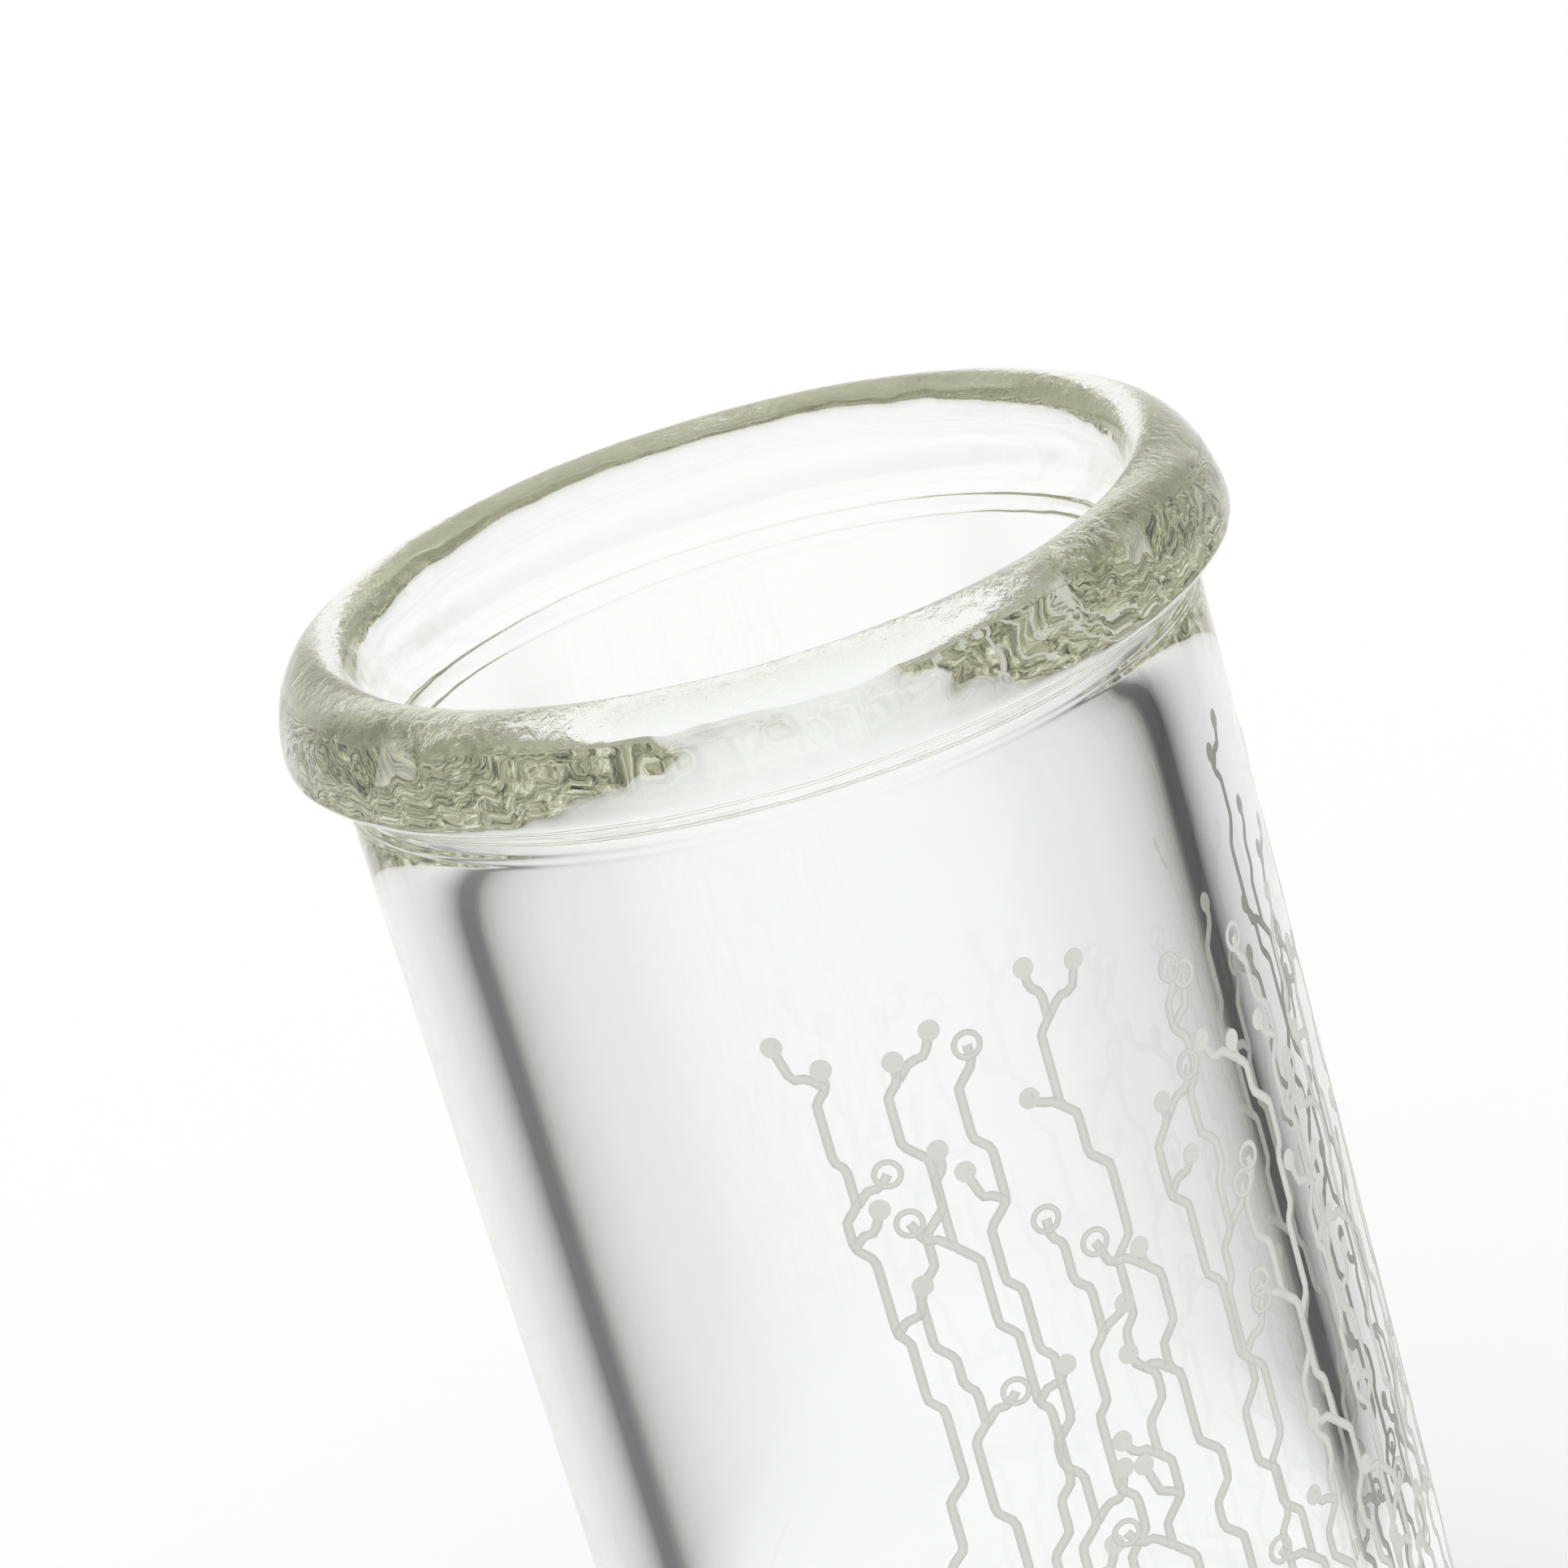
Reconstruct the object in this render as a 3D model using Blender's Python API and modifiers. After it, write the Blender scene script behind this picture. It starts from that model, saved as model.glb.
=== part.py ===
"""Straight-sided glass vessel with a heavy rounded rim: base, barrel and rim.

Metres, +Z up. The origin is the centre of the foot, on the surface it stands on.
The three pieces are fused on the real object; a thin named gap stands for each seam.
"""
import math

import bpy

# Driving dimensions
HEIGHT = 0.165
TUBE_DIAMETER = 0.090
WALL = 0.009
RIM_HEIGHT = 0.0142          # seam to the top of the rim
RIM_OVERHANG = 0.0048        # how far the bead stands out past the barrel
RIM_WIDEST_HEIGHT = 0.0050   # seam to the widest point of the bead
RIM_CROWN_SETBACK = 0.0015   # barrel's outer face to the top line of the bead
MOUTH_FLARE = 0.0045         # how much wider than the bore the mouth opens
LIP_DROP = 0.0035            # top of the rim to the edge of the mouth
FLARE_BELOW_SEAM = 0.015     # where the bore starts to open, below the seam
FLARE_LATENESS = 2.0         # above 1 the bore stays narrow for longer and opens nearer the lip
BASE_THICKNESS = 0.015       # foot to the inner floor
FLOOR_RISE = 0.001           # how far the inner floor stands up inside the bore
FOOT_CORNER = 0.006
FOOT_RING_WIDTH = 0.010      # flat ring that the vessel stands on
KICK_DEPTH = 0.0025
SEAM_GAP = 0.0003

# Smoothness of the turned shapes
TURN_STEPS = 72
CURVE_STEPS = 9
MERGE_DISTANCE = 0.00001

# Worked out from the driving dimensions
TUBE_RADIUS = TUBE_DIAMETER / 2
BORE_RADIUS = TUBE_RADIUS - WALL
SEAM_HEIGHT = HEIGHT - RIM_HEIGHT
MOUTH_RADIUS = BORE_RADIUS + MOUTH_FLARE
CROWN_RADIUS = TUBE_RADIUS - RIM_CROWN_SETBACK
WIDEST_RADIUS = TUBE_RADIUS + RIM_OVERHANG
FLARE_START = SEAM_HEIGHT - FLARE_BELOW_SEAM
FLARE_END = HEIGHT - LIP_DROP
BARREL_SEAT = BASE_THICKNESS - FLOOR_RISE
BARREL_BOTTOM = BARREL_SEAT + SEAM_GAP
FLOOR_RADIUS = BORE_RADIUS - SEAM_GAP
BARREL_TOP = SEAM_HEIGHT - SEAM_GAP
KICK_RADIUS = TUBE_RADIUS - FOOT_CORNER - FOOT_RING_WIDTH

CLEAR_GLASS = (0.93, 0.95, 0.93, 1.0)


def ease(share):
    """Go from 0 to 1, starting and ending level."""
    return share * share * (3 - 2 * share)


def span(start, end, steps):
    """Evenly spaced values from start to end, both included."""
    return [start + (end - start) * i / steps for i in range(steps + 1)]


def arc(centre, half_width, half_height, start_deg, end_deg):
    """Points on an ellipse's arc, as (radius, height)."""
    angles = [math.radians(a) for a in span(start_deg, end_deg, CURVE_STEPS)]
    return [(centre[0] + half_width * math.cos(a), centre[1] + half_height * math.sin(a))
            for a in angles]


def bore_radius(height):
    """Inner radius: a straight bore that opens smoothly into the mouth."""
    share = (height - FLARE_START) / (FLARE_END - FLARE_START)
    return BORE_RADIUS + MOUTH_FLARE * ease(min(max(share, 0.0), 1.0) ** FLARE_LATENESS)


def bore_points(low, high):
    """Points up the inner wall, from low to high."""
    return [(bore_radius(height), height) for height in span(low, high, CURVE_STEPS)]


def new_collection(name):
    """A new collection in the scene."""
    collection = bpy.data.collections.new(name)
    bpy.context.scene.collection.children.link(collection)
    return collection


def glass_material(name):
    """Clear polished glass."""
    material = bpy.data.materials.new(name)
    material.use_nodes = True
    shader = material.node_tree.nodes["Principled BSDF"]
    shader.inputs["Base Color"].default_value = CLEAR_GLASS
    shader.inputs["Roughness"].default_value = 0.03
    shader.inputs["Metallic"].default_value = 0.0
    shader.inputs["Transmission Weight"].default_value = 1.0
    return material


def turned(name, profile, collection, closed):
    """Turn a profile, given as (radius, height) down its outer side, about Z."""
    mesh = bpy.data.meshes.new(name)
    edges = [(i, i + 1) for i in range(len(profile) - 1)]
    if closed:
        edges.append((len(profile) - 1, 0))
    mesh.from_pydata([(radius, 0.0, height) for radius, height in profile], edges, [])
    piece = bpy.data.objects.new(name, mesh)
    collection.objects.link(piece)
    mesh.materials.append(glass_material(name + "_glass"))
    screw = piece.modifiers.new("Turn", 'SCREW')
    screw.axis = 'Z'
    screw.angle = math.tau
    screw.steps = TURN_STEPS
    screw.render_steps = TURN_STEPS
    screw.use_merge_vertices = True
    screw.merge_threshold = MERGE_DISTANCE
    screw.use_smooth_shade = True
    return piece


def build_base_disc(collection):
    """Thick floor that stands a little way up the bore, with a rounded foot and a hollow under it."""
    corner = (TUBE_RADIUS - FOOT_CORNER, FOOT_CORNER)
    profile = [(0.0, BASE_THICKNESS), (FLOOR_RADIUS, BASE_THICKNESS)]
    profile += [(FLOOR_RADIUS, BARREL_SEAT), (TUBE_RADIUS, BARREL_SEAT)]
    profile += arc(corner, FOOT_CORNER, FOOT_CORNER, 0, -90)
    for radius in span(KICK_RADIUS, 0.0, CURVE_STEPS):
        profile.append((radius, KICK_DEPTH * ease(1 - radius / KICK_RADIUS)))
    return turned("base_disc", profile, collection, closed=False)


def build_barrel_tube(collection):
    """Straight tube whose bore starts to open just under the rim."""
    profile = [(TUBE_RADIUS, BARREL_TOP), (TUBE_RADIUS, BARREL_BOTTOM), (BORE_RADIUS, BARREL_BOTTOM)]
    profile += bore_points(FLARE_START, BARREL_TOP)
    return turned("barrel_tube", profile, collection, closed=True)


def build_rim_bead(collection):
    """Thick bead round the mouth, wider than the barrel outside and flared inside."""
    widest = SEAM_HEIGHT + RIM_WIDEST_HEIGHT
    profile = arc((CROWN_RADIUS, widest), WIDEST_RADIUS - CROWN_RADIUS, HEIGHT - widest, 90, 0)
    for share in span(1.0, 0.0, CURVE_STEPS)[1:]:
        radius = TUBE_RADIUS + RIM_OVERHANG * ease(share)
        profile.append((radius, SEAM_HEIGHT + RIM_WIDEST_HEIGHT * share))
    profile += bore_points(SEAM_HEIGHT, FLARE_END)
    lip = arc((CROWN_RADIUS, FLARE_END), CROWN_RADIUS - MOUTH_RADIUS, LIP_DROP, 180, 90)
    profile += lip[1:-1]
    return turned("rim_bead", profile, collection, closed=True)


for old in list(bpy.data.objects):
    bpy.data.objects.remove(old, do_unlink=True)

parts = new_collection("mixing_glass")
build_base_disc(parts)
build_barrel_tube(parts)
build_rim_bead(parts)
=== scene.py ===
import math
import random

import bmesh
import bpy
from mathutils import Matrix, Vector, noise


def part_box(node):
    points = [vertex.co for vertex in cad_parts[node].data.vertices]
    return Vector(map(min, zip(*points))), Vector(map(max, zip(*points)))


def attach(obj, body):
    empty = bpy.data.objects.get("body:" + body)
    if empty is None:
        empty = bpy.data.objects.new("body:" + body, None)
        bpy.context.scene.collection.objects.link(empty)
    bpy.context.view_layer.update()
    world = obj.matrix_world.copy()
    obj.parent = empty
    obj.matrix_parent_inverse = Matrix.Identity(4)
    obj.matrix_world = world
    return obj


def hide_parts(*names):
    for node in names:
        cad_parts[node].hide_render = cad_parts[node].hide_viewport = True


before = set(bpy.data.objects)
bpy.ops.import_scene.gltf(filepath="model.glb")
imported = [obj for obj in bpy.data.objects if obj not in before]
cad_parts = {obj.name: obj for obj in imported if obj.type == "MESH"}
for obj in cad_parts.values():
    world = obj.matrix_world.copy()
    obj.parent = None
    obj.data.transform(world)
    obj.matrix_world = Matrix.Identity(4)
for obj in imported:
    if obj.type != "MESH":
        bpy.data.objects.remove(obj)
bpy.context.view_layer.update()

for stray in [o for o in bpy.data.objects if o.type in {'CAMERA', 'LIGHT'}]:
    bpy.data.objects.remove(stray, do_unlink=True)
scene = bpy.context.scene

# --- Glass vessel -------------------------------------------------------------------------------
# Heavy-wall clear borosilicate tube with a thick bead gathered round its mouth and a floor fused
# in below. The glass is one mass once it has been worked in the flame, so it is one closed skin.
foot_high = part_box("base_disc")[1]
barrel_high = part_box("barrel_tube")[1]
rim_low, rim_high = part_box("rim_bead")
TOP = rim_high.z
SEAM = rim_low.z
TUBE_RADIUS = barrel_high.x
WIDEST_RADIUS = rim_high.x
FLOOR = foot_high.z
WALL = 0.009
BORE_RADIUS = TUBE_RADIUS - WALL
WIDEST = SEAM + 0.0050
CROWN_RADIUS = TUBE_RADIUS - 0.0015
MOUTH_RADIUS = BORE_RADIUS + 0.0045
LIP = TOP - 0.0035
FLARE_START = SEAM - 0.015
FLARE_LATENESS = 2.0
FOOT_CORNER = 0.006
KICK_RADIUS = 0.029
KICK_DEPTH = 0.0025
FLOOR_FILLET = 0.005
AROUND = 288


def ease(share):
    """Go from 0 to 1, starting and ending level."""
    share = min(max(share, 0.0), 1.0)
    return share * share * (3 - 2 * share)


def span(start, end, steps):
    """Evenly spaced values, both ends included."""
    return [start + (end - start) * i / steps for i in range(steps + 1)]


def arc(centre_r, centre_z, half_r, half_z, start_deg, end_deg, steps):
    """Points on an ellipse's arc as (radius, height)."""
    turns = [math.radians(a) for a in span(start_deg, end_deg, steps)]
    return [(centre_r + half_r * math.cos(a), centre_z + half_z * math.sin(a)) for a in turns]


def bore_radius(height):
    """A straight bore that opens smoothly into the mouth."""
    share = min(max((height - FLARE_START) / (LIP - FLARE_START), 0.0), 1.0)
    return BORE_RADIUS + (MOUTH_RADIUS - BORE_RADIUS) * ease(share ** FLARE_LATENESS)


def vessel_profile():
    """The wall's outline, from the lip down the outside, under the foot, and up the bore."""
    points = arc(CROWN_RADIUS, LIP, CROWN_RADIUS - MOUTH_RADIUS, TOP - LIP, 180, 90, 16)[:-1]
    points += arc(CROWN_RADIUS, WIDEST, WIDEST_RADIUS - CROWN_RADIUS, TOP - WIDEST, 90, 0, 28)
    for height in span(WIDEST, SEAM, 20)[1:]:
        swell = ease((height - SEAM) / (WIDEST - SEAM))
        points.append((TUBE_RADIUS + (WIDEST_RADIUS - TUBE_RADIUS) * swell, height))
    points += [(TUBE_RADIUS, height) for height in span(SEAM, SEAM - 0.0045, 36)[1:]]
    points += [(TUBE_RADIUS, height) for height in span(SEAM - 0.0045, FOOT_CORNER, 24)[1:]]
    points += arc(TUBE_RADIUS - FOOT_CORNER, FOOT_CORNER, FOOT_CORNER, FOOT_CORNER, 0, -90, 12)[1:]
    for radius in span(KICK_RADIUS, 0.0, 16):
        points.append((radius, KICK_DEPTH * ease(1 - radius / KICK_RADIUS)))
    points += [(radius, FLOOR) for radius in span(0.0, BORE_RADIUS - FLOOR_FILLET, 8)]
    points += arc(BORE_RADIUS - FLOOR_FILLET, FLOOR + FLOOR_FILLET, FLOOR_FILLET, FLOOR_FILLET,
            -90, 0, 10)[1:]
    points += [(BORE_RADIUS, height) for height in span(FLOOR + FLOOR_FILLET, FLARE_START, 20)[1:]]
    points += [(bore_radius(height), height) for height in span(FLARE_START, LIP, 30)[1:-1]]
    return points


SEAM_LINE_WIDTH = 0.00028
SEAM_LINE_DEPTH = 0.00013
BEAD_WAVE = 0.00020


def seam_lines(turn, height):
    """Two fine rings where the bead was gathered; the lower one wanders, as hand work does."""
    upper = SEAM - 0.0002 + 0.00010 * math.sin(2 * turn + 0.4)
    lower = upper - 0.00145 - 0.00075 * math.sin(turn + 0.5) + 0.00010 * math.sin(3 * turn)
    ring = 0.0
    for centre in (upper, lower):
        ring += math.exp(-((height - centre) / SEAM_LINE_WIDTH) ** 2)
    return -SEAM_LINE_DEPTH * ring


def bead_wave(x, y, height):
    """Slow swelling of the bead's skin, fading out into the true tube."""
    fade = ease((height - SEAM + 0.004) / 0.006)
    slow = noise.noise(Vector((x, y, height)) * 110)
    fine = noise.noise(Vector((x, y, height * 0.6)) * 420)
    return fade * BEAD_WAVE * (0.75 * slow + 0.25 * fine - 0.9)


def build_vessel():
    """Turn the outline about Z; the two points on the axis become single vertices."""
    mesh = bpy.data.meshes.new("glass_vessel")
    shape = bmesh.new()
    rows = []
    for radius, height in vessel_profile():
        if radius < 1e-7:
            rows.append([shape.verts.new((0, 0, height))])
            continue
        row = []
        for i in range(AROUND):
            turn = math.tau * i / AROUND
            x, y = math.cos(turn), math.sin(turn)
            outer = radius > BORE_RADIUS + 0.0046 and height > SEAM - 0.0045
            shift = bead_wave(x * radius, y * radius, height) if height > SEAM - 0.004 else 0.0
            if outer and height < WIDEST:
                shift += seam_lines(turn, height)
            row.append(shape.verts.new((x * (radius + shift), y * (radius + shift), height)))
        rows.append(row)
    for upper, lower in zip(rows, rows[1:] + rows[:1]):
        for i in range(AROUND):
            j = (i + 1) % AROUND
            if len(upper) == 1 and len(lower) == 1:
                continue
            if len(lower) == 1:
                shape.faces.new((upper[i], lower[0], upper[j]))
            elif len(upper) == 1:
                shape.faces.new((upper[0], lower[i], lower[j]))
            else:
                shape.faces.new((upper[i], lower[i], lower[j], upper[j]))
    bmesh.ops.recalc_face_normals(shape, faces=shape.faces)
    shape.to_mesh(mesh)
    shape.free()
    mesh.shade_smooth()
    piece = bpy.data.objects.new("glass_vessel", mesh)
    scene.collection.objects.link(piece)
    return piece


class Value:
    """A number socket that takes part in Python sums by adding Math nodes."""

    def __init__(self, tree, socket):
        self.tree = tree
        self.socket = socket

    def math(self, operation, first, second=None):
        inputs = [first] if second is None else [first, second]
        return Value(self.tree, add(self.tree, 'ShaderNodeMath', {"operation": operation},
                inputs).outputs[0])

    def __add__(self, other):
        return self.math('ADD', self, other)

    def __radd__(self, other):
        return self.math('ADD', other, self)

    def __sub__(self, other):
        return self.math('SUBTRACT', self, other)

    def __rsub__(self, other):
        return self.math('SUBTRACT', other, self)

    def __mul__(self, other):
        return self.math('MULTIPLY', self, other)

    def __rmul__(self, other):
        return self.math('MULTIPLY', other, self)

    def __truediv__(self, other):
        return self.math('DIVIDE', self, other)

    def clamp(self):
        return self.math('MINIMUM', self.math('MAXIMUM', self, 0.0), 1.0)


def add(tree, kind, settings=None, inputs=()):
    """A node with its settings made first, then its sockets' values or links in order or by name."""
    node = tree.nodes.new(kind)
    for name, setting in (settings or {}).items():
        setattr(node, name, setting)
    pairs = inputs.items() if isinstance(inputs, dict) else enumerate(inputs)
    for key, given in pairs:
        given = given.socket if isinstance(given, Value) else given
        if isinstance(given, bpy.types.NodeSocket):
            tree.links.new(given, node.inputs[key])
        else:
            node.inputs[key].default_value = given
    return node


def new_material(name):
    """An empty material with its output; returns both and the tree."""
    material = bpy.data.materials.new(name)
    material.use_nodes = True
    material.node_tree.nodes.clear()
    output = add(material.node_tree, 'ShaderNodeOutputMaterial')
    return material, material.node_tree, output


# Painted glow: paths that bounce more times than this depth end in an emission of these tones, from near
# black (painted shade) through olive to pale.
PAINTED_GLOW_DEPTH = 4.5
PAINTED_GLOW_TONES = ((0.0, (0.02, 0.022, 0.022)), (1.0, (0.86, 0.86, 0.74)), (0.18, (0.12, 0.12, 0.08)),
                 (0.45, (0.33, 0.33, 0.22)), (0.72, (0.50, 0.50, 0.36)))


def clear_glass():
    """Polished clear glass with painted light: an olive reflection painted on the crown, and a painted glow
    where light long trapped in the wall comes out olive, streaked and darker lower down; light off the
    table, and in the foot, comes out white.
    """
    material, tree, output = new_material("clear_glass")
    place = add(tree, 'ShaderNodeTexCoord').outputs["Object"]
    place_xyz = add(tree, 'ShaderNodeSeparateXYZ', None, [place])
    x, y, height = (Value(tree, place_xyz.outputs[k]) for k in range(3))
    crown = ((height - (TOP - 0.0026)) / 0.0022).clamp()
    # Painted reflection: the streaked olive tint mixed into the crown's colour stands in for surroundings
    # seen in the bead.
    painted_tint_streaks = Value(tree, add(tree, 'ShaderNodeTexNoise', None, {
        "Vector": place, "Scale": 260.0, "Detail": 6.0, "Roughness": 0.65,
                "Distortion": 1.6}).outputs["Fac"])
    crown_painted_tint = (crown * (0.55 + 0.6 * painted_tint_streaks)).clamp()
    colour = add(tree, 'ShaderNodeMix', {"data_type": 'RGBA'})
    tree.links.new(crown_painted_tint.socket, colour.inputs["Factor"])
    colour.inputs[6].default_value = (0.985, 0.99, 0.985, 1)
    colour.inputs[7].default_value = (0.84, 0.85, 0.74, 1)
    ripple = Value(tree, add(tree, 'ShaderNodeTexNoise', None, {
        "Vector": place, "Scale": 620.0, "Detail": 4.0, "Roughness": 0.6, "Distortion": 0.8}).outputs["Fac"])
    bump = add(tree, 'ShaderNodeBump', None, {
        "Strength": 1.0, "Distance": 0.00018, "Height": ripple * crown})
    shader = add(tree, 'ShaderNodeBsdfPrincipled', None, {
        "Base Color": colour.outputs[2], "Roughness": 0.0, "IOR": 1.474,
        "Transmission Weight": 1.0, "Normal": bump.outputs[0]})
    # Painted glow streaks and patches: noise, and a height term darker lower down, pick the painted glow's
    # tone; the foot and paths off the table get a pale painted glow.
    painted_glow_streaks = Value(tree, add(tree, 'ShaderNodeTexNoise', None, {
        "Vector": place, "Scale": 240.0, "Detail": 9.0, "Roughness": 0.8, "Distortion": 1.2}).outputs["Fac"])
    painted_glow_height = ((height - 0.040) / (SEAM - 0.040)).clamp()
    painted_glow_ramp = add(tree, 'ShaderNodeValToRGB', None, [((painted_glow_streaks - 0.5) * 4.2 + 0.38 + 0.26 * painted_glow_height).clamp()])
    for extra in PAINTED_GLOW_TONES[2:]:
        painted_glow_ramp.color_ramp.elements.new(extra[0])
    for element, (stop, tone) in zip(painted_glow_ramp.color_ramp.elements, sorted(PAINTED_GLOW_TONES)):
        element.position, element.color = stop, (*tone, 1)
    squared = x * x + y * y
    from_axis = squared.math('SQRT', squared)
    in_base = ((FLOOR + 0.008 - height) / 0.006).clamp() * ((0.0375 - from_axis) / 0.003).clamp()
    path = add(tree, 'ShaderNodeLightPath')
    off_table = Value(tree, path.outputs["Diffuse Depth"])
    painted_pale_mask = in_base.math('MAXIMUM', in_base, off_table.math('GREATER_THAN', off_table, 0.5))
    painted_glow_colour = add(tree, 'ShaderNodeMix', {"data_type": 'RGBA'})
    tree.links.new(painted_pale_mask.socket, painted_glow_colour.inputs["Factor"])
    tree.links.new(painted_glow_ramp.outputs[0], painted_glow_colour.inputs[6])
    painted_glow_colour.inputs[7].default_value = (0.94, 0.95, 0.93, 1)
    # Painted glow: an emission on the glass, which is no lamp, shown only on paths deeper than the glow
    # depth.
    painted_glow = add(tree, 'ShaderNodeEmission', None, {"Color": painted_glow_colour.outputs[2], "Strength": 1.0})
    depth = Value(tree, path.outputs["Ray Depth"])
    painted_glow_switch = add(tree, 'ShaderNodeMixShader', None, [
        depth.math('GREATER_THAN', depth, PAINTED_GLOW_DEPTH), shader.outputs[0], painted_glow.outputs[0]])
    tree.links.new(painted_glow_switch.outputs[0], output.inputs["Surface"])
    material.cycles.emission_sampling = 'NONE'
    body = add(tree, 'ShaderNodeVolumeAbsorption', None, {"Color": (0.62, 0.66, 0.40, 1), "Density": 2.0})
    tree.links.new(body.outputs[0], output.inputs["Volume"])
    return material


vessel = build_vessel()
vessel.data.materials.append(clear_glass())
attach(vessel, "root")
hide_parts("base_disc", "barrel_tube", "rim_bead")

# --- Fired print --------------------------------------------------------------------------------
# Pale grey enamel screened on the outside of the barrel and fired: a plain rule-made pattern of
# circuit traces, each stepping aside at 45 degrees and ending in a filled pad or an open ring.
TRACE_WIDTH = 0.0010
ENAMEL_THICKNESS = 0.00006
PAD_RADIUS = 0.0011
RING_RADIUS = 0.0013
PRINT_BOTTOM = 0.026
PRINT_TOP = SEAM - 0.016
TRACE_PITCH = 0.0045
TRACE_COUNT = 19
TOP_RAGGED = 0.034
FOOT_RAGGED = 0.012
PRINT_SEED = 7


def trace_lines():
    """Centre lines and ends of the print, flat: x along the barrel's face, y up it."""
    dice = random.Random(PRINT_SEED)
    lines, pads, rings = [], [], []

    def finish(point):
        (rings if dice.random() < 0.28 else pads).append(point)

    for i in range(TRACE_COUNT):
        column = (i - (TRACE_COUNT - 1) / 2) * TRACE_PITCH
        x, y = column, PRINT_BOTTOM + dice.uniform(0, FOOT_RAGGED)
        top = PRINT_TOP - dice.uniform(0, TOP_RAGGED)
        finish((x, y))
        line = [(x, y)]
        while True:
            rise = dice.uniform(0.0025, 0.0085)
            lean = dice.choice((-1, 1)) * dice.uniform(0.0009, 0.0024)
            if abs(x + lean - column) > 0.0028:
                lean = -lean
            if y + rise + abs(lean) + 0.002 > top:
                break
            line.append((x, y + rise))
            x, y = x + lean, y + rise + abs(lean)
            line.append((x, y))
            if dice.random() < 0.40:
                reach = dice.uniform(0.0018, 0.0036)
                way = dice.choice((-1, 1))
                bend = (x + way * reach * 0.5, y + reach * 0.5)
                flat = (bend[0] + way * reach * 0.5, bend[1])
                tip = (flat[0] + way * 0.001, flat[1] + 0.001 + dice.uniform(0, 0.003))
                lines.append([(x, y), bend, flat, tip])
                finish(tip)
        line.append((x, y + 0.002))
        lines.append(line)
        finish(line[-1])
    return lines, pads, rings


def points_object(name, points, edges):
    """Loose points or edges for a node tree to read."""
    mesh = bpy.data.meshes.new(name)
    mesh.from_pydata([(x, y, 0) for x, y in points], edges, [])
    piece = bpy.data.objects.new(name, mesh)
    scene.collection.objects.link(piece)
    return piece


def print_tree(material):
    """Ribbons along the edges, pads and rings on the loose points, all wrapped round the barrel."""
    tree = bpy.data.node_groups.new("fired_print", 'GeometryNodeTree')
    face = tree.interface
    face.new_socket("Geometry", in_out='INPUT', socket_type='NodeSocketGeometry')
    for name in ("Trace Width", "Thickness", "Barrel Radius", "Corner Radius"):
        face.new_socket(name, in_out='INPUT', socket_type='NodeSocketFloat')
    face.new_socket("Pads", in_out='INPUT', socket_type='NodeSocketObject')
    face.new_socket("Rings", in_out='INPUT', socket_type='NodeSocketObject')
    face.new_socket("Geometry", in_out='OUTPUT', socket_type='NodeSocketGeometry')
    given = add(tree, 'NodeGroupInput')
    out = add(tree, 'NodeGroupOutput')
    curve = add(tree, 'GeometryNodeMeshToCurve', None, {"Mesh": given.outputs["Geometry"]})
    rounded = add(tree, 'GeometryNodeFilletCurve', {"mode": 'POLY'}, {
        "Curve": curve.outputs[0], "Radius": given.outputs["Corner Radius"]})
    rounded.inputs["Count"].default_value = 4
    upright = add(tree, 'GeometryNodeSetCurveNormal', {"mode": 'Z_UP'}, {"Curve": rounded.outputs[0]})
    even = add(tree, 'GeometryNodeResampleCurve', {"mode": 'LENGTH'}, {
        "Curve": upright.outputs[0], "Length": 0.0008})
    section = add(tree, 'GeometryNodeCurvePrimitiveQuadrilateral', None, {
        "Width": given.outputs["Trace Width"], "Height": given.outputs["Thickness"]})
    ribbon = add(tree, 'GeometryNodeCurveToMesh', None, {
        "Curve": even.outputs[0], "Profile Curve": section.outputs[0], "Fill Caps": True})
    pad = add(tree, 'GeometryNodeMeshCylinder', None, {
        "Vertices": 20, "Radius": PAD_RADIUS, "Depth": ENAMEL_THICKNESS * 1.2})
    pads = add(tree, 'GeometryNodeObjectInfo', None, {"Object": given.outputs["Pads"]})
    set_pads = add(tree, 'GeometryNodeInstanceOnPoints', None, {
        "Points": pads.outputs["Geometry"], "Instance": pad.outputs[0]})
    circle = add(tree, 'GeometryNodeCurvePrimitiveCircle', None, {"Resolution": 24, "Radius": RING_RADIUS})
    ring_section = add(tree, 'GeometryNodeCurvePrimitiveQuadrilateral', None, {
        "Width": TRACE_WIDTH * 0.6, "Height": ENAMEL_THICKNESS * 1.2})
    ring = add(tree, 'GeometryNodeCurveToMesh', None, {
        "Curve": circle.outputs[0], "Profile Curve": ring_section.outputs[0]})
    rings = add(tree, 'GeometryNodeObjectInfo', None, {"Object": given.outputs["Rings"]})
    set_rings = add(tree, 'GeometryNodeInstanceOnPoints', None, {
        "Points": rings.outputs["Geometry"], "Instance": ring.outputs[0]})
    join = add(tree, 'GeometryNodeJoinGeometry')
    for part in (ribbon, set_pads, set_rings):
        tree.links.new(part.outputs[0], join.inputs[0])
    real = add(tree, 'GeometryNodeRealizeInstances', None, [join.outputs[0]])
    flat = add(tree, 'ShaderNodeSeparateXYZ', None, [add(tree, 'GeometryNodeInputPosition').outputs[0]])
    x, y, z = (Value(tree, flat.outputs[i]) for i in range(3))
    radius = Value(tree, given.outputs["Barrel Radius"])
    turn = x / radius
    wrapped = add(tree, 'ShaderNodeCombineXYZ', None, [
        turn.math('SINE', turn) * (radius + z), turn.math('COSINE', turn) * (radius + z) * -1.0, y])
    bent = add(tree, 'GeometryNodeSetPosition', None, {
        "Geometry": real.outputs[0], "Position": wrapped.outputs[0]})
    coated = add(tree, 'GeometryNodeSetMaterial', None, {"Geometry": bent.outputs[0], "Material": material})
    tree.links.new(coated.outputs[0], out.inputs[0])
    return tree


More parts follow.
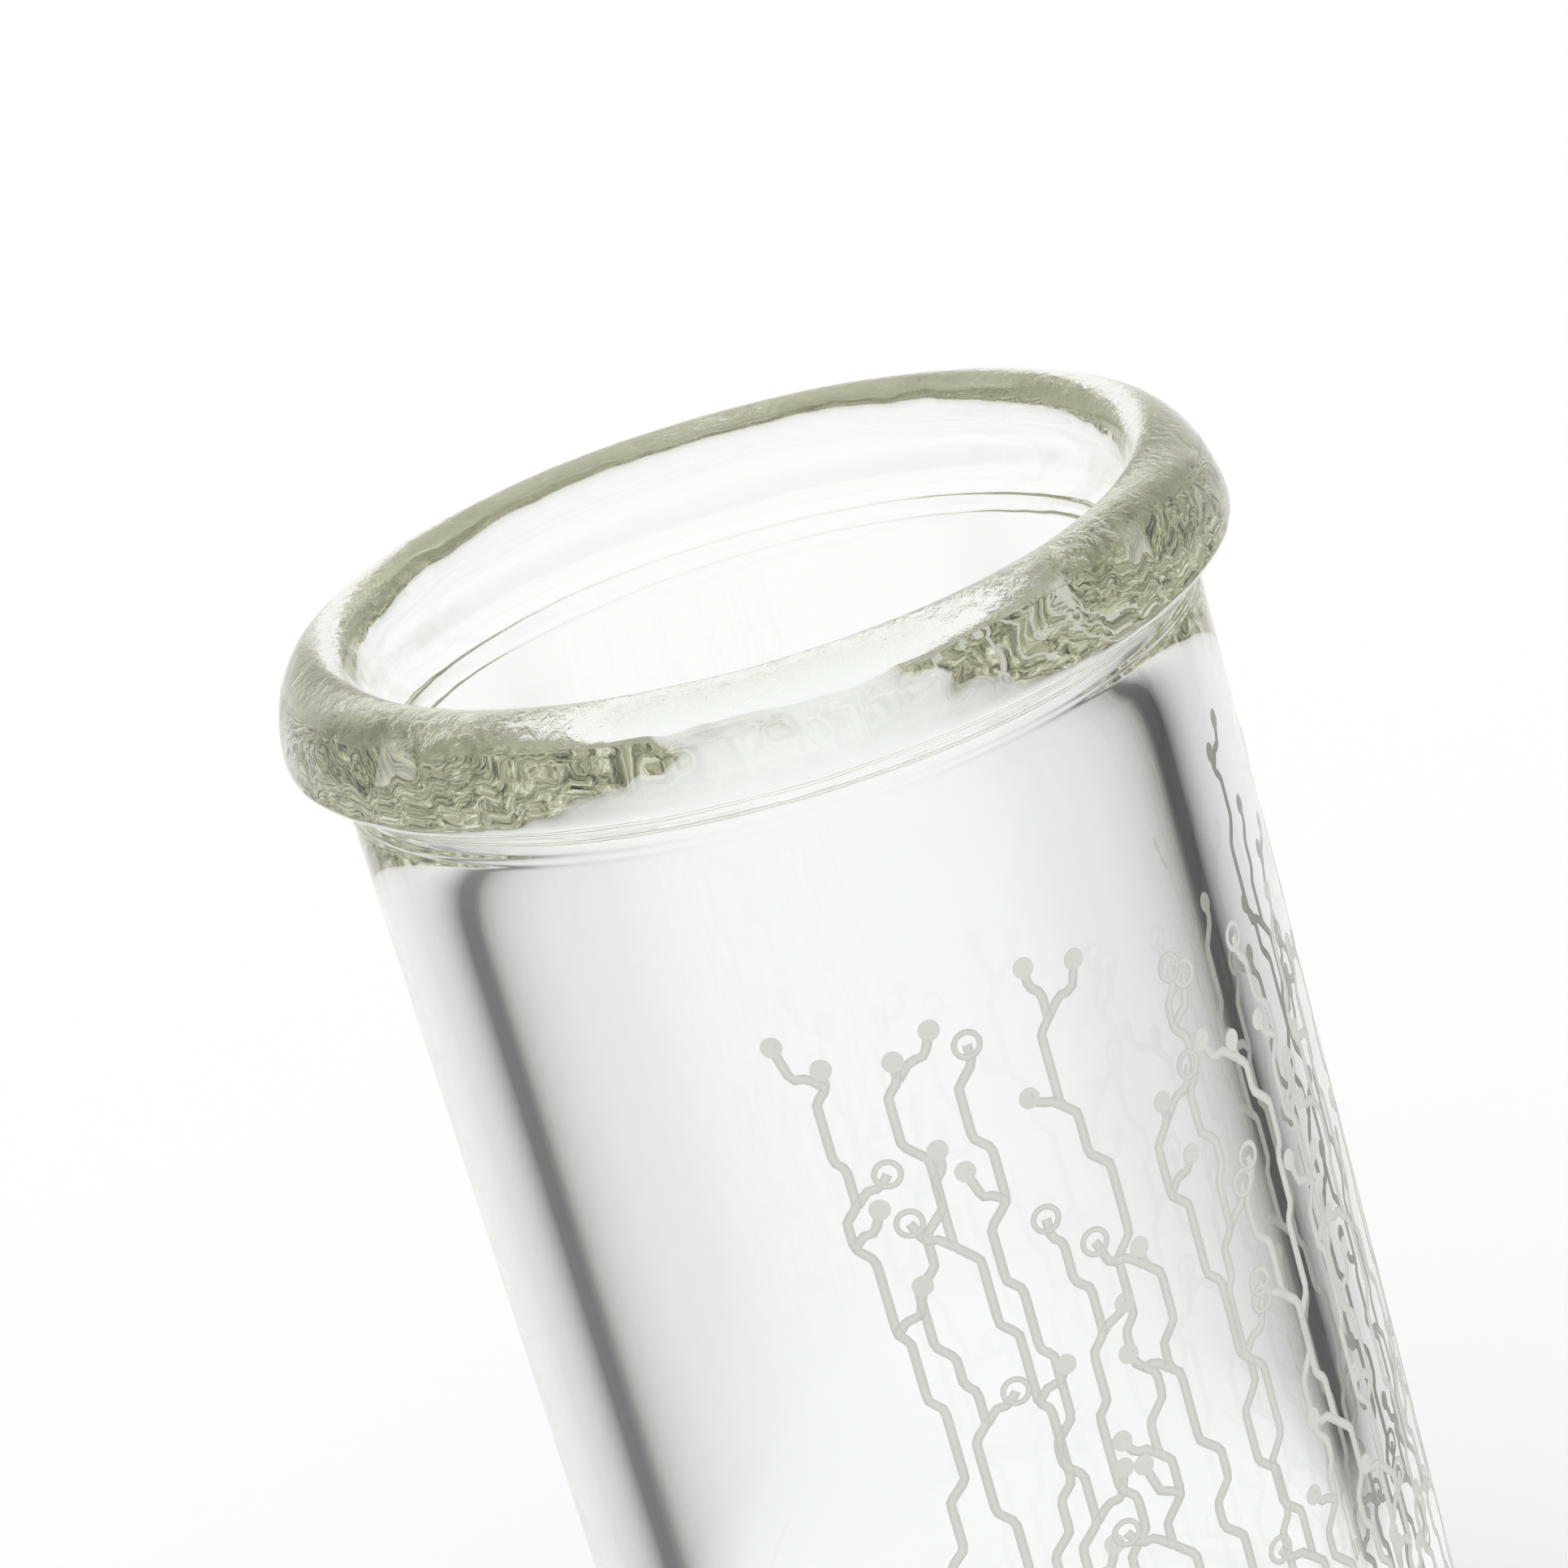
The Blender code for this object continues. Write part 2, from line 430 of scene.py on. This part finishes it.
def enamel():
    """Matt fired enamel: slightly uneven in tone and grain, as screened colour is."""
    material, tree, output = new_material("fired_enamel")
    place = add(tree, 'ShaderNodeTexCoord').outputs["Object"]
    cloud = Value(tree, add(tree, 'ShaderNodeTexNoise', None, {
        "Vector": place, "Scale": 180.0, "Detail": 4.0}).outputs["Fac"])
    grain = Value(tree, add(tree, 'ShaderNodeTexNoise', None, {
        "Vector": place, "Scale": 5200.0, "Detail": 2.0}).outputs["Fac"])
    colour = add(tree, 'ShaderNodeMix', {"data_type": 'RGBA'})
    tree.links.new((0.6 * cloud + 0.4 * grain).socket, colour.inputs["Factor"])
    colour.inputs[6].default_value = (0.60, 0.60, 0.565, 1)
    colour.inputs[7].default_value = (0.74, 0.74, 0.70, 1)
    bump = add(tree, 'ShaderNodeBump', None, {"Strength": 0.3, "Distance": 0.00003, "Height": grain})
    shader = add(tree, 'ShaderNodeBsdfPrincipled', None, {
        "Base Color": colour.outputs[2], "Roughness": 0.5 + 0.2 * cloud, "Normal": bump.outputs[0]})
    tree.links.new(shader.outputs[0], output.inputs["Surface"])
    return material


def build_print():
    """Run the node tree and keep its result as a plain mesh."""
    lines, pads, rings = trace_lines()
    points, edges = [], []
    for line in lines:
        first = len(points)
        points += line
        edges += [(first + k, first + k + 1) for k in range(len(line) - 1)]
    source = points_object("print_lines", points, edges)
    pad_points = points_object("print_pads", pads, [])
    ring_points = points_object("print_rings", rings, [])
    tree = print_tree(enamel())
    modifier = source.modifiers.new("Print", 'NODES')
    modifier.node_group = tree
    sizes = {"Trace Width": TRACE_WIDTH, "Thickness": ENAMEL_THICKNESS, "Barrel Radius": TUBE_RADIUS,
             "Corner Radius": 0.0007, "Pads": pad_points, "Rings": ring_points}
    for item in tree.interface.items_tree:
        if item.in_out == 'INPUT' and item.name in sizes:
            modifier[item.identifier] = sizes[item.name]
    graph = bpy.context.evaluated_depsgraph_get()
    mesh = bpy.data.meshes.new_from_object(source.evaluated_get(graph))
    mesh.name = "circuit_print"
    piece = bpy.data.objects.new("circuit_print", mesh)
    scene.collection.objects.link(piece)
    for spent in (source, pad_points, ring_points):
        bpy.data.objects.remove(spent, do_unlink=True)
    return piece


circuit_print = build_print()
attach(circuit_print, "root")

# --- Floor, dark cards, light and camera ------------------------------------------------------
# A plain white table and surround. Black cards out of the camera's sight give clear glass its
# dark edge lines, as a photographer of glass uses them.
def stage_mesh(name, corners, faces, material):
    """A plain staged surface."""
    mesh = bpy.data.meshes.new(name)
    mesh.from_pydata(corners, [], faces)
    mesh.materials.append(material)
    piece = bpy.data.objects.new(name, mesh)
    scene.collection.objects.link(piece)
    return piece


def plain(name, colour, roughness):
    """One even stage colour."""
    material, tree, output = new_material(name)
    shader = add(tree, 'ShaderNodeBsdfPrincipled', None, {
        "Base Color": (*colour, 1), "Roughness": roughness})
    tree.links.new(shader.outputs[0], output.inputs["Surface"])
    return material


FLOOR_HALF = 3.0
stage_mesh("floor", [(-FLOOR_HALF, -FLOOR_HALF, 0), (FLOOR_HALF, -FLOOR_HALF, 0), (FLOOR_HALF,
        FLOOR_HALF, 0),
                     (-FLOOR_HALF, FLOOR_HALF, 0)], [(0, 1, 2, 3)], plain("white_table", (1.0, 1.0,
                             1.0), 1.0))

CARD_RADIUS = 0.095
CARD_TOP = 0.145
CARD_FADE = 0.020
STRAIGHT_SOFTNESS = 2.0
REFLECTED_SOFTNESS = 6.0
CARD_END_FADE = 28
VIEW_TURN = math.radians(45)
CARDS = {"right_card": (-1, 108, 75, 0, 1.0), "left_card": (1, 108, 75, 0, 0.90)}


def soft_card(name, side, far, full, clear_at, darkness):
    """Full dark between two turns from straight ahead, fading out towards straight ahead and the top."""
    material, tree, output = new_material(name)
    place = add(tree, 'ShaderNodeSeparateXYZ', None, [add(tree, 'ShaderNodeTexCoord').outputs["Object"]])
    x, y, z = (Value(tree, place.outputs[k]) for k in range(3))
    ahead = x * math.cos(VIEW_TURN) + y * math.sin(VIEW_TURN)
    aside = (y * math.cos(VIEW_TURN) - x * math.sin(VIEW_TURN)) * side
    turn = aside.math('ARCTAN2', aside, ahead)
    rise = ((turn - math.radians(clear_at)) / math.radians(full - clear_at)).clamp()
    end = ((math.radians(far) - turn) / math.radians(CARD_END_FADE)).clamp()
    top = ((CARD_TOP - z) / CARD_FADE).clamp()
    foot = (z / CARD_FADE).clamp()
    walls = Value(tree, add(tree, 'ShaderNodeLightPath').outputs["Transmission Depth"])
    straight = walls.math('GREATER_THAN', walls, 2.5)
    softness = REFLECTED_SOFTNESS - (REFLECTED_SOFTNESS - STRAIGHT_SOFTNESS) * straight
    cover = rise.math('POWER', rise, softness) * end * top * foot * darkness
    clear = add(tree, 'ShaderNodeBsdfTransparent')
    black = add(tree, 'ShaderNodeBsdfDiffuse', None, {"Color": (0.01, 0.01, 0.01, 1)})
    mix = add(tree, 'ShaderNodeMixShader', None, [cover, clear.outputs[0], black.outputs[0]])
    tree.links.new(mix.outputs[0], output.inputs["Surface"])
    return material


for name, (side, far, full, clear_at, darkness) in CARDS.items():
    corners, faces = [], []
    for k, turn in enumerate(span(clear_at, far, 24)):
        angle = VIEW_TURN + side * math.radians(turn)
        for height in (0.001, CARD_TOP):
            corners.append((CARD_RADIUS * math.cos(angle), CARD_RADIUS * math.sin(angle), height))
        if k:
            faces.append((2 * k - 2, 2 * k - 1, 2 * k + 1, 2 * k))
    card = stage_mesh(name, corners, faces, soft_card(name, side, far, full, clear_at, darkness))
    card.visible_camera = False
    card.visible_diffuse = False
    card.visible_shadow = False

world = bpy.data.worlds.new("white_surround")
world.use_nodes = True
world.node_tree.nodes["Background"].inputs["Color"].default_value = (1, 1, 1, 1)
world.node_tree.nodes["Background"].inputs["Strength"].default_value = 1.0
scene.world = world

CAMERA_AZIMUTH = math.radians(-45)
CAMERA_ELEVATION = math.radians(18.66)
CAMERA_DISTANCE = 0.4993
CAMERA_LENS = 112.4
CAMERA_YAW = math.radians(-0.20)
CAMERA_PITCH = math.radians(1.46)
CAMERA_ROLL = math.radians(16.15)
back = Vector((0, -math.cos(CAMERA_ELEVATION), math.sin(CAMERA_ELEVATION)))
right = Vector((1, 0, 0))
up = back.cross(right)
facing = Matrix((right, up, back))
aim = Matrix.Rotation(CAMERA_ROLL, 3, 'Z') @ Matrix.Rotation(CAMERA_PITCH, 3, 'X')
aim = aim @ Matrix.Rotation(CAMERA_YAW, 3, 'Y') @ facing
swing = Matrix.Rotation(CAMERA_AZIMUTH, 3, 'Z')
camera_data = bpy.data.cameras.new("camera")
camera_data.lens = CAMERA_LENS
camera = bpy.data.objects.new("camera", camera_data)
camera.matrix_world = (Matrix.Translation(swing @ (back * CAMERA_DISTANCE) + Vector((0, 0, SEAM)))
                       @ (swing @ aim.transposed()).to_4x4())
scene.collection.objects.link(camera)
scene.camera = camera
scene.view_settings.view_transform = 'Standard'
